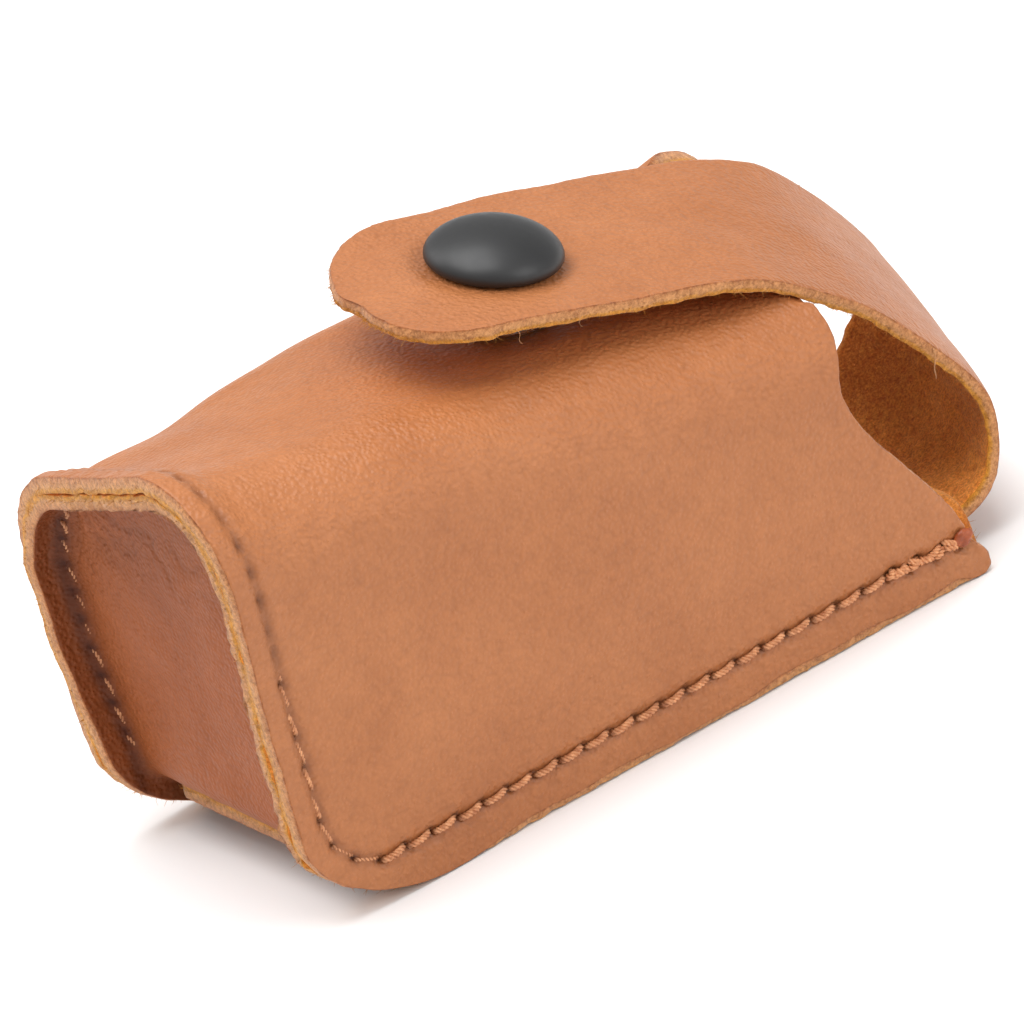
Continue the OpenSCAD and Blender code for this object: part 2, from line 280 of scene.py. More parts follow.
class Mesh:
    """Collects vertices in mm, faces, a material number per face, and two numbers per vertex."""

    def __init__(self):
        self.v, self.f, self.m, self.depth, self.shade, self.n = [], [], [], [], [], 0

    def add(self, v, f, m, depth=0.0, shade=1.0):
        v = np.asarray(v, float)
        base = self.n
        self.v.append(v)
        self.f += [tuple(int(i) + base for i in q) for q in f]
        self.m += [m] * len(f)
        self.depth.append(np.broadcast_to(np.asarray(depth, float), len(v)))
        self.shade.append(np.broadcast_to(np.asarray(shade, float), len(v)))
        self.n += len(v)
        return base

    def build(self, name, mats, smooth=True):
        me = bpy.data.meshes.new(name)
        v = to_frame(np.concatenate(self.v))
        me.from_pydata(v.tolist(), [], self.f)
        me.materials.clear()
        for m in mats:
            me.materials.append(m)
        me.polygons.foreach_set("material_index", np.array(self.m, np.int32))
        me.polygons.foreach_set("use_smooth", np.full(len(self.f), smooth))
        for key, val in (("depth", self.depth), ("shade", self.shade)):
            at = me.attributes.new(key, "FLOAT", "POINT")
            at.data.foreach_set("value", np.concatenate(val).astype(np.float32))
        me.update()
        ob = bpy.data.objects.new(name, me)
        bpy.context.scene.collection.objects.link(ob)
        return ob


def fibres(mesh, at, out, n, seed, length=(0.3, 1.15), r=0.03, mat=1):
    """Short curled hairs of raw leather, at random among the points given."""
    rnd = np.random.RandomState(seed)
    pick = rnd.randint(0, len(at), n)
    for k in pick:
        p, d = at[k], unit(out[k] + rnd.normal(size=3) * 0.55)
        side = unit(np.cross(d, rnd.normal(size=3)))
        ln = rnd.uniform(*length) * rnd.uniform(0.4, 1.0)
        curl = rnd.uniform(-0.9, 0.9)
        up = unit(np.cross(d, side))
        pts, segs = [], 5
        for j in range(segs + 1):
            t = j / segs
            c = p + d * ln * t + side * curl * ln * t * t
            rad = r * (1 - 0.75 * t)
            pts += [c + rad * (side * math.cos(a) + up * math.sin(a)) for a in (0, 2.094, 4.189)]
        f = [(3 * j + i, 3 * j + (i + 1) % 3, 3 * j + 3 + (i + 1) % 3, 3 * j + 3 + i)
             for j in range(segs) for i in range(3)]
        f += [(2, 1, 0), (3 * segs, 3 * segs + 1, 3 * segs + 2)]
        mesh.add(np.array(pts), f, mat, 0.9, 1.0)


def whisker(mesh, pts, r, mat=1):
    """One longer loose fibre through the points given."""
    pts = spline(pts, np.linspace(0, len(pts) - 1, 15))
    t = unit(np.gradient(pts, axis=0))
    side = unit(np.cross(t, [0.2, 0.9, 0.1]))
    up = np.cross(t, side)
    rad = r * np.linspace(1, 0.5, 15)[:, None]
    ring = np.stack([pts + rad * (side * math.cos(a) + up * math.sin(a)) for a in (0, 1.571, 3.142, 4.712)], 1)
    f = [(4 * j + i, 4 * j + (i + 1) % 4, 4 * j + 4 + (i + 1) % 4, 4 * j + 4 + i)
         for j in range(14) for i in range(4)]
    mesh.add(ring.reshape(-1, 3), f + [(3, 2, 1, 0), (56, 57, 58, 59)], mat, 0.5, 1.0)


def leather(mesh, v, f, th=TH, seed=1, shade=1.0, ragged=0.07, fuzz=0, flesh_rough=0.05, n=None,
            butt=None, flesh_shade=None, drop=0.0):
    """Turns an open grain-side surface into a solid sheet: grain 0, cut edge 1, flesh 2.

    The points in butt meet another sheet and get a flat joint instead of a cut edge. drop makes
    the cut edge hang below the grain side, mm.
    """
    n = normals(v, f) if n is None else n
    inner = v - n * (th + flesh_rough * waves(v, 2.4, seed + 5))[:, None]
    edges = {}
    for q in f:
        for k in range(4):
            edges[(q[k], q[(k + 1) % 4])] = True
    rim = [(a, b) for a, b in edges if (b, a) not in edges and a != b]
    if butt is not None:
        for a, b in [(a, b) for a, b in rim if butt[a] and butt[b]]:
            mesh.add([v[a], v[b], inner[b], inner[a]], [(3, 2, 1, 0)], 1, 0.5, 1.0)
        rim = [(a, b) for a, b in rim if not (butt[a] and butt[b])]
    out = {}
    for a, b in rim:
        o = np.cross(v[b] - v[a], n[a] + n[b])
        for k in (a, b):
            out[k] = out.get(k, 0) + o
    ids = sorted(out)
    o = unit(np.array([out[k] for k in ids]))
    pos = {k: i for i, k in enumerate(ids)}
    ragged = np.broadcast_to(np.asarray(ragged, float), len(v))[ids]
    jag = ragged * (0.6 * waves(v[ids], 5.3, seed + 1) + 0.5 * waves(v[ids], 2.1, seed + 6)
                    + 0.35 * waves(v[ids], 0.8, seed + 2))
    v = v.copy()
    drop = np.broadcast_to(np.asarray(drop, float), len(v))[ids]
    v[ids] += o * (jag * 0.5 - SHOULDER)[:, None] - n[ids] * 0.04
    inner[ids] += o * (jag * 0.9)[:, None]
    shade = np.broadcast_to(np.asarray(shade, float), len(v))
    base = mesh.add(v, f, 0, 0.0, shade)
    low = mesh.add(inner, [tuple(q[::-1]) for q in f], 2, 1.0, shade if flesh_shade is None else flesh_shade)
    start = []
    for t, fall in ((0.02, 0.15), (0.05, 0.85), (0.09, 1), (0.3, 0.9), (0.55, 0.7), (0.8, 0.5), (0.95, 0.2)):
        bulge = 0.05 * math.sin(math.pi * t) + 0.02
        rough = (0.3 * ragged * waves(v[ids] + t * 3.1, 1.1, seed + 3)
                 + 0.35 * ragged * waves(v[ids] + t * 5.0, 0.5, seed + 4))
        step = SHOULDER * ((1 - t) if t > 0.2 else 0.35)
        w = v[ids] * (1 - t) + inner[ids] * t + o * (bulge + rough + step + drop * fall)[:, None]
        start.append(mesh.add(w, [], 1, t + (0.62 * (drop > 0.2) if 0.04 < t < 0.2 else 0.0), 1.0))
    for a, b in rim:
        la = [base + a] + [s + pos[a] for s in start] + [low + a]
        lb = [base + b] + [s + pos[b] for s in start] + [low + b]
        for k in range(len(la) - 1):
            mesh.f.append((la[k + 1], lb[k + 1], lb[k], la[k]))
            mesh.m.append(1)
    if fuzz:
        mid = v[ids] * 0.35 + inner[ids] * 0.65 + o * 0.08
        fibres(mesh, mid, o - n[ids] * 0.5, fuzz, seed + 9)
    return n


# ------------------------------------------------------------------ materials
def new_mat(name):
    m = bpy.data.materials.new(name)
    m.use_nodes = True
    nt = m.node_tree
    return m, nt, nt.nodes["Principled BSDF"]


def node(nt, kind, **inputs):
    n = nt.nodes.new(kind)
    for k, val in inputs.items():
        if k in n.inputs:
            n.inputs[k].default_value = val
        else:
            setattr(n, k, val)
    return n


def lin(r, g, b):
    """Linear colour of a display colour given as 0..255."""
    return tuple((c / 255) / 12.92 if c / 255 <= 0.04045 else ((c / 255 + 0.055) / 1.055) ** 2.4
                 for c in (r, g, b)) + (1.0,)


def grey(v):
    return (v, v, v, 1)


def darken(nt, col, stops, fac):
    """Multiplies a colour by a ramp over the value given in stops."""
    value, low, high = stops
    return mix(nt, "MULTIPLY", col, ramp(nt, value, [low, high]), fac)


def ramp(nt, fac, stops):
    n = nt.nodes.new("ShaderNodeValToRGB")
    el = n.color_ramp.elements
    while len(el) < len(stops):
        el.new(0.5)
    for e, (p, c) in zip(el, stops):
        e.position, e.color = p, c
    nt.links.new(fac, n.inputs["Fac"])
    return n.outputs["Color"]


def mix(nt, kind, a, b, fac):
    n = nt.nodes.new("ShaderNodeMix")
    n.data_type, n.blend_type = "RGBA", kind
    for sock, val in ((n.inputs[6], a), (n.inputs[7], b), (n.inputs[0], fac)):
        if hasattr(val, "links"):
            nt.links.new(val, sock)
        else:
            sock.default_value = val
    return n.outputs[2]


def math_node(nt, op, a, b):
    n = nt.nodes.new("ShaderNodeMath")
    n.operation = op
    for sock, val in ((n.inputs[0], a), (n.inputs[1], b)):
        if hasattr(val, "links"):
            nt.links.new(val, sock)
        else:
            sock.default_value = val
    return n.outputs[0]


def noise(nt, scale, detail=4.0, rough=0.55, dist=0.0):
    tc = nt.nodes.new("ShaderNodeTexCoord")
    n = node(nt, "ShaderNodeTexNoise", Scale=scale, Detail=detail, Roughness=rough, Distortion=dist)
    nt.links.new(tc.outputs["Object"], n.inputs["Vector"])
    return n.outputs["Fac"]


def voronoi(nt, scale, feature="F1"):
    tc = nt.nodes.new("ShaderNodeTexCoord")
    n = nt.nodes.new("ShaderNodeTexVoronoi")
    n.feature = feature
    n.inputs["Scale"].default_value = scale
    nt.links.new(tc.outputs["Object"], n.inputs["Vector"])
    return n.outputs["Distance"]


def attr(nt, name):
    n = nt.nodes.new("ShaderNodeAttribute")
    n.attribute_name = name
    return n.outputs["Fac"]


def bump(nt, height, dist, strength=1.0, under=None):
    n = nt.nodes.new("ShaderNodeBump")
    n.inputs["Strength"].default_value = strength
    n.inputs["Distance"].default_value = dist
    nt.links.new(height, n.inputs["Height"])
    if under is not None:
        nt.links.new(under, n.inputs["Normal"])
    return n.outputs["Normal"]


def grain_material(name, light, dark, rough=0.44, shine=0.4):
    m, nt, p = new_mat(name)
    broad = noise(nt, 55, 5, 0.6, 0.4)
    col = ramp(nt, broad, [(0.28, dark), (0.72, light)])
    fine = noise(nt, 900, 3, 0.6)
    col = darken(nt, col, (fine, (0.3, (0.9, 0.89, 0.88, 1)), (0.7, (1.06, 1.06, 1.05, 1))), 0.6)
    cells = voronoi(nt, 2500, "SMOOTH_F1")
    col = darken(nt, col, (cells, (0.2, grey(1.05)), (0.75, (0.86, 0.84, 0.82, 1))), 0.55)
    col = darken(nt, col, (attr(nt, "shade"), (0.0, (0.16, 0.1, 0.07, 1)), (1.0, grey(1))), 1.0)
    nt.links.new(col, p.inputs["Base Color"])
    r = node(nt, "ShaderNodeMapRange")
    nt.links.new(noise(nt, 420, 4), r.inputs["Value"])
    r.inputs["To Min"].default_value, r.inputs["To Max"].default_value = rough - 0.08, rough + 0.1
    nt.links.new(r.outputs["Result"], p.inputs["Roughness"])
    b1 = bump(nt, cells, -0.00022, 0.8)
    b2 = bump(nt, noise(nt, 2200, 3, 0.6, 0.3), 0.00008, 0.5, b1)
    b3 = bump(nt, noise(nt, 300, 3, 0.5, 0.4), 0.0002, 0.14, b2)
    nt.links.new(b3, p.inputs["Normal"])
    p.inputs["Specular IOR Level"].default_value = shine
    return m


def flesh_material(name, light, dark):
    m, nt, p = new_mat(name)
    a = noise(nt, 1500, 8, 0.75, 0.4)
    col = ramp(nt, a, [(0.3, dark), (0.5, tuple((x + y) / 2 for x, y in zip(dark, light))), (0.7, light)])
    hair = noise(nt, 4200, 5, 0.7)
    col = darken(nt, col, (hair, (0.32, (0.5, 0.34, 0.24, 1)), (0.66, (1.35, 1.32, 1.2, 1))), 0.9)
    broad = noise(nt, 160, 3)
    col = darken(nt, col, (broad, (0.3, (0.86, 0.84, 0.8, 1)), (0.7, (1.08, 1.08, 1.06, 1))), 0.7)
    col = darken(nt, col, (attr(nt, "shade"), (0.0, (0.34, 0.17, 0.1, 1)), (1.0, grey(1))), 1.0)
    nt.links.new(col, p.inputs["Base Color"])
    p.inputs["Roughness"].default_value = 0.95
    p.inputs["Specular IOR Level"].default_value = 0.12
    p.inputs["Sheen Weight"].default_value = 0.35
    p.inputs["Sheen Roughness"].default_value = 0.45
    p.inputs["Sheen Tint"].default_value = (1.0, 0.78, 0.5, 1)
    b1 = bump(nt, hair, 0.00012, 0.7)
    nt.links.new(bump(nt, a, 0.0002, 0.6, b1), p.inputs["Normal"])
    return m


def edge_material(name):
    m, nt, p = new_mat(name)
    d = attr(nt, "depth")
    wobble = math_node(nt, "MULTIPLY", math_node(nt, "SUBTRACT", noise(nt, 700, 3), 0.5), 0.35)
    wob = math_node(nt, "ADD", d, wobble)
    col = ramp(nt, wob, [(0.0, lin(172, 106, 62)), (0.14, lin(196, 136, 88)), (0.6, lin(204, 148, 96)),
                         (0.78, lin(208, 146, 60)), (1.0, lin(206, 136, 36))])
    fib = noise(nt, 2400, 5, 0.75, 0.2)
    col = darken(nt, col, (fib, (0.34, (0.5, 0.38, 0.3, 1)), (0.62, (1.18, 1.18, 1.16, 1))), 0.9)
    nt.links.new(col, p.inputs["Base Color"])
    p.inputs["Roughness"].default_value = 0.9
    p.inputs["Specular IOR Level"].default_value = 0.15
    p.inputs["Sheen Weight"].default_value = 0.25
    p.inputs["Sheen Roughness"].default_value = 0.5
    b1 = bump(nt, fib, 0.00022, 0.8)
    nt.links.new(bump(nt, noise(nt, 480, 4), 0.0003, 0.5, b1), p.inputs["Normal"])
    return m


def thread_material(name, light, dark, rough=0.55):
    m, nt, p = new_mat(name)
    n = noise(nt, 1400, 4, 0.6)
    col = ramp(nt, n, [(0.3, dark), (0.7, light)])
    col = darken(nt, col, (attr(nt, "shade"), (0.0, (0.2, 0.12, 0.08, 1)), (1.0, grey(1))), 1.0)
    nt.links.new(col, p.inputs["Base Color"])
    p.inputs["Roughness"].default_value = rough
    p.inputs["Specular IOR Level"].default_value = 0.4
    nt.links.new(bump(nt, noise(nt, 5200, 3, 0.7), 0.00004, 0.6), p.inputs["Normal"])
    return m


def metal_material(name, colour, metallic, rough, coat=0.0, coat_rough=0.1):
    m, nt, p = new_mat(name)
    n = noise(nt, 380, 4)
    dull = tuple(c * 0.85 for c in colour[:3]) + (1,)
    nt.links.new(ramp(nt, n, [(0.2, dull), (0.8, colour)]), p.inputs["Base Color"])
    r = node(nt, "ShaderNodeMapRange")
    nt.links.new(noise(nt, 900, 3), r.inputs["Value"])
    r.inputs["To Min"].default_value, r.inputs["To Max"].default_value = rough * 0.85, rough * 1.2
    nt.links.new(r.outputs["Result"], p.inputs["Roughness"])
    p.inputs["Metallic"].default_value = metallic
    p.inputs["Coat Weight"].default_value = coat
    p.inputs["Coat Roughness"].default_value = coat_rough
    nt.links.new(bump(nt, noise(nt, 1500, 2), 0.00001, 0.15), p.inputs["Normal"])
    return m


tan = grain_material("tan_grain", lin(180, 114, 68), lin(166, 101, 57))
# Painted shade: the gusset gets a darker copy of the tan grain, standing in for the shade on the closed end,
# which faces away from the lamps.
tan_painted_shade = grain_material("gusset_grain_painted_shade", lin(162, 90, 48), lin(142, 75, 38), 0.5, 0.2)
flesh = flesh_material("suede_flesh", lin(252, 176, 86), lin(204, 116, 50))
cut = edge_material("raw_edge")
thread = thread_material("brown_thread", lin(230, 166, 118), lin(164, 98, 60), 0.42)
tack_thread = thread_material("tack_thread", lin(232, 166, 116), lin(170, 100, 60), 0.42)
melted = thread_material("melted_thread", lin(184, 96, 54), lin(130, 58, 28), 0.35)
black = metal_material("black_lacquer", (0.008, 0.008, 0.0085, 1), 0.0, 0.5, 0.2, 0.3)
steel = metal_material("plated_steel", (0.62, 0.61, 0.58, 1), 1.0, 0.32)
LEATHER = [tan, cut, flesh]

# ------------------------------------------------------------------ wrap panel
NU = 190
S_ROWS = np.concatenate([np.linspace(0, 0.4, 27)[:-1], np.linspace(0.4, 1, 24)[:-1], np.linspace(1, 2, 20)[:-1],
                         np.linspace(2, 3, 26)[:-1], np.linspace(3, 4, 20)[:-1], np.linspace(4, 4.6, 22)[:-1],
                         np.linspace(4.6, 5, 27)])
t = np.linspace(0, 1, NU)
U_COLS = 0.55 * t + 0.45 * ease(t)
ug, sg = np.meshgrid(U_COLS, S_ROWS, indexing="ij")
wrap_v = wrap_point(ug, sg).reshape(-1, 3)
wrap_f = grid_faces(NU, len(S_ROWS))[:, ::-1]
n0 = normals(wrap_v, wrap_f)
if n0[NU // 2 * len(S_ROWS) + len(S_ROWS) // 2][2] < 0:
    wrap_f = wrap_f[:, ::-1]
    n0 = -n0
d_seam, d_hole, phase = seam_fields(wrap_v)
x, y, h = wrap_v.T
from_seam = np.minimum(x - SEAM_X, np.where((y < 2) | (y > W - 2), h - SEAM_H, 99))
inside = ease((from_seam - 0.4) / 9)
calm = ease(d_seam / 4)
s_all = sg.ravel()
on_panel = (s_all < 1) | (s_all > 4) | ((s_all > 2) & (s_all < 3))
panel = np.where(on_panel, np.abs(np.sin(math.pi * s_all)), 0)
disp = 0.5 * inside * panel * (1 - 0.4 * ease((x - 50) / 14))
disp += 0.12 * waves(wrap_v, 26, 11) * calm + 0.05 * waves(wrap_v, 9, 12) * calm
disp -= 0.30 * np.exp(-(d_seam / 0.75) ** 2) + 0.55 * np.exp(-(d_hole / 0.5) ** 2)
disp += 0.10 * np.cos(2 * math.pi * (phase - 0.5)) * np.exp(-np.abs(d_seam - 1.2) / 1.2) * -1
disp += 0.55 * (1 - ease((x - 1.6) / 3.4)) * ease((h - 22) / 10)
snap_d = np.linalg.norm(np.cross(wrap_v - SNAP_C, SNAP_N), axis=1)
disp = np.where((snap_d < 9) & (h > 25), disp * ease((snap_d - 5) / 4), disp)
wrap_v = flare(wrap_v + n0 * disp[:, None], 1.0)
# Painted shade: the grain darkens along the seam groove and in the stitch holes, less at the closed-end seam; a
# faint random tone is added on top.
hole_shade = np.where(x < 4.5, 0.4, 0.78)
wrap_shade = 1 - 0.30 * np.exp(-(d_seam / 0.55) ** 2) - hole_shade * np.exp(-(d_hole / 0.46) ** 2)
wrap_shade = np.clip(wrap_shade + 0.02 * waves(wrap_v, 3, 15), 0, 1)
m = Mesh()
# the mouth lip is pressed down under the strap
under = np.nonzero((wrap_v[:, 0] > 57) & (wrap_v[:, 1] > 3) & (wrap_v[:, 1] < 29.2) & (wrap_v[:, 2] > 20))[0]
u_top = np.linspace(9.5, 16.5, 200)
c_top, d_top = strap_point(u_top), cross_dir(u_top)
n_top = np.abs(unit(np.cross(d_top, heading(u_top)))[:, 2])
for i in under:
    px, py, ph = wrap_v[i]
    reach = (py - W / 2) / d_top[:, 1]
    xs = c_top[:, 0] + d_top[:, 0] * reach
    hs = c_top[:, 2] + d_top[:, 2] * reach - 1.4 / n_top
    roof = np.interp(px, xs[::-1], hs[::-1]) + 3 * (1 - ease((py - 3.2) / 2.2))
    gap = roof - ph
    wrap_v[i, 2] = roof - 0.5 * math.exp(min(gap / 0.5 - 1, 0)) if gap < 0.5 else ph
# the bottom rim shows its cut edge
rim_h = 0.85 * ease((wrap_v[:, 0] - 15) / 9) * (1 - ease((wrap_v[:, 0] - 69.5) / 2.5)) * (
    0.75 + 0.25 * waves(wrap_v[:, :1] * np.ones(3), 22, 17))
wrap_v[:, 2] += rim_h * (1 - ease(wrap_v[:, 2] / 3.2))
leather(m, wrap_v, wrap_f, seed=21, shade=wrap_shade, fuzz=420, drop=rim_h * (wrap_v[:, 2] < 1.2))
wrap = m.build("wrap_panel_leather", LEATHER)
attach(wrap, "pouch")
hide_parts("wrap_panel")

# ------------------------------------------------------------------ gusset
def gusset_rim(back):
    """Edge points, inward depth direction, depth and cross direction along one half of the gusset."""
    y = W - FLANGE if back else FLANGE
    dy = -1.0 if back else 1.0
    rows = []
    for xx in np.linspace(73.6, CORNER_L, 120):
        rows.append(([xx, y, 0], [0, 0, 1], FLOOR_H, [0, dy, 0], [xx, W / 2, FLOOR_H]))
    turn = np.radians(np.linspace(0, 90, 13))
    fold_x = np.r_[CORNER_L, END_IN + FOLD_R * (1 - np.sin(turn)), END_IN]
    fold_h = np.r_[FLOOR_H, FLOOR_H + FOLD_R * (1 - np.cos(turn)), CORNER_R]
    run = np.r_[0, np.cumsum(np.hypot(np.diff(fold_x), np.diff(fold_h)))]
    for k in range(1, 30):
        a = math.radians(90 * k / 30)
        e = np.array([CORNER_L * (1 - math.sin(a)), y, CORNER_R * (1 - math.cos(a))])
        q = np.array([np.interp(run[-1] * k / 30, run, fold_x), y, np.interp(run[-1] * k / 30, run, fold_h)])
        rows.append((e, unit(q - e), np.linalg.norm(q - e), [0, dy, 0], [q[0], W / 2, q[2]]))
    s = np.concatenate([np.linspace(0.42, 1, 40), np.linspace(1, 2, 16)[1:], np.linspace(2, 2.5, 16)[1:]])
    if back:
        s = np.concatenate([np.linspace(4.58, 4, 40), np.linspace(4, 3, 16)[1:], np.linspace(3, 2.5, 16)[1:]])
    p = sec(np.zeros_like(s), s, FLANGE)
    for k, q in enumerate(p):
        top = 24.0 + 5.0 * ease((k - 30) / 40)
        spine = [END_IN, W / 2, min(q[1], top)]
        d = unit(np.array([0, spine[1] - q[0], spine[2] - q[1]]))
        if k < 34:
            d = np.array([0, dy, 0.0])
        elif k < 44:
            d = unit(d * ((k - 33) / 11) + np.array([0, dy, 0.0]) * (1 - (k - 33) / 11))
        rows.append(([0, q[0], q[1]], [1, 0, 0], END_IN, d, spine))
    return rows


def gusset_half(back):
    r = 1.3
    rows = []
    for e, a, dep, d, spine in gusset_rim(back):
        e, a, d, spine = (np.array(z, float) for z in (e, a, d, spine))
        line = [e + a * (dep - r) * w for w in np.linspace(0, 1, 9)]
        c = e + a * (dep - r)
        for ang in np.linspace(0, math.pi / 2, 7)[1:]:
            line.append(c + a * r * math.sin(ang) + d * r * (1 - math.cos(ang)))
        last = line[-1]
        for w in np.linspace(0, 1, 22)[1:]:
            line.append(last * (1 - w) + spine * w)
        rows.append(line)
    return np.array(rows)


gf, gb = gusset_half(False), gusset_half(True)
cols = gf.shape[1]
grid = np.concatenate([gf, gb[:, ::-1][:, 1:]], axis=1)
gus_v = grid.reshape(-1, 3)
gus_f = grid_faces(grid.shape[0], grid.shape[1])
# close the fan where the two halves meet at the top
last_row = (grid.shape[0] - 1) * grid.shape[1]
weld = {last_row + grid.shape[1] - 1 - k: last_row + k for k in range(cols - 1)}
gus_f = np.array([[weld.get(int(i), int(i)) for i in q] for q in gus_f])
used = np.unique(gus_f)
remap = {int(k): i for i, k in enumerate(used)}
gus_v = gus_v[used]
gus_f = np.array([[remap[int(i)] for i in q] for q in gus_f])
gus_n = normals(gus_v, gus_f)
mid = np.argmin(np.linalg.norm(gus_v - np.array([END_IN, W / 2, 15]), axis=1))
if gus_n[mid][0] > 0:
    gus_f = gus_f[:, ::-1]
    gus_n = -gus_n
x, y, h = gus_v.T
ridge = sec(np.zeros_like(h), np.full_like(h, 2.5))[:, 1]
on_web = ease((np.minimum(y - FLANGE, W - FLANGE - y) - 1.0) / 4) * ease((ridge - 3 - h) / 3)
gus_hole = np.min([np.linalg.norm(gus_v - (np.array(q[0], float) - np.array(q[1]) * FLANGE), axis=1)
                   for q in f_bottom + f_end + t_seam + b_end + b_bottom], axis=0)
# puckers fan out from the back top corner of the web, with fine creases below them
crease = np.array([0, 28.0, 36.5])
rad = np.linalg.norm(gus_v - crease, axis=1)
ang = np.arctan2(h - crease[2], y - crease[1])
pucker = 0.30 * np.exp(-rad / 5.0) * np.cos(15 * ang + 0.9 * rad) * (x > 1.5)
creased = waves(gus_v * np.array([1, 0.7, 1.5]), 5.5, 33)
pucker += 0.2 * (np.exp(-np.abs(creased) / 0.25) * -1) * ease((h - 23) / 9) * on_web * (x < 8)
gd = (0.10 * waves(gus_v * np.array([1, 1, 1.4]), 14, 31) * on_web * (x < 8)
      + 0.03 * waves(gus_v, 4.0, 32) * on_web)
gd += pucker * ease((x - 1.0) / 1.5) - 0.35 * np.exp(-(gus_hole / 0.5) ** 2)
gd -= 0.55 * (1 - ease((x - 1.5) / 1.3)) * ease((h - 20) / 10)
gus_v = flare(gus_v + gus_n * gd[:, None], -1.0)
# Painted shade on the gusset: darker in the fold beside the seams, in the stitch holes, in the pucker troughs
# and on the back flange strip in the recess, lighter on the pucker crests; the web also darkens towards the
# top.
fold = np.exp(-((np.minimum(y - FLANGE, W - FLANGE - y)) / 1.2) ** 2) * ease((x - 1.2) / 1.2)
flange_painted_shade = ease((y - (W - FLANGE - 2.4)) / 1.6) * ease((END_IN + 0.25 - x) / 1.3) * (h > 3)
gus_shade = 1 - 0.5 * fold - 0.45 * np.exp(-(gus_hole / 0.42) ** 2) + 0.8 * pucker - 0.10 * ease((h - 18) / 18)
gus_shade = np.clip(gus_shade - 0.36 * flange_painted_shade, 0, 1)
m = Mesh()
end_edge = (gus_v[:, 0] < 1.6) & (gus_v[:, 2] > 4)
leather(m, gus_v, gus_f, seed=41, shade=gus_shade, fuzz=700,
        ragged=0.05 + 0.15 * end_edge * ease((28 - gus_v[:, 1]) / 4))
gusset = m.build("gusset_leather", [tan_painted_shade, cut, flesh])
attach(gusset, "pouch")
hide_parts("gusset")

# ------------------------------------------------------------------ strap
def strap_grid(us, nw=34):
    """Grain side of the strap; its tip is fuller on the far side."""
    c = strap_point(us)
    tipd = np.where(us > 14, np.linalg.norm(strap_point(TIP_AT) - c, axis=1), 99)
    hw = np.where(tipd < 10, 2 + np.sqrt(np.maximum(0, 100 - (10 - np.minimum(tipd, 10)) ** 2)), 12.0)
    w = np.sin(np.linspace(-math.pi / 2, math.pi / 2, nw)) * 0.35 + np.linspace(-1, 1, nw) * 0.65
    round_off = np.maximum(0, 1 - np.abs((9 - np.minimum(tipd, 9)) / 9) ** 2.6) ** (1 / 2.6)
    far = np.where(tipd < 9, 12 * round_off, 12.0)
    half = np.where(w[None, :] > 0, np.maximum(far, hw)[:, None], hw[:, None])
    p = c[:, None, :] + cross_dir(us)[:, None, :] * (w[None, :, None] * half[:, :, None])
    reach = 1.1 * ease((us - 15.6) / 1.5)[:, None] * ease((w + 0.5) / 1.5)[None, :]
    p = p + heading(us)[:, None, :] * reach[:, :, None]
    return p, w


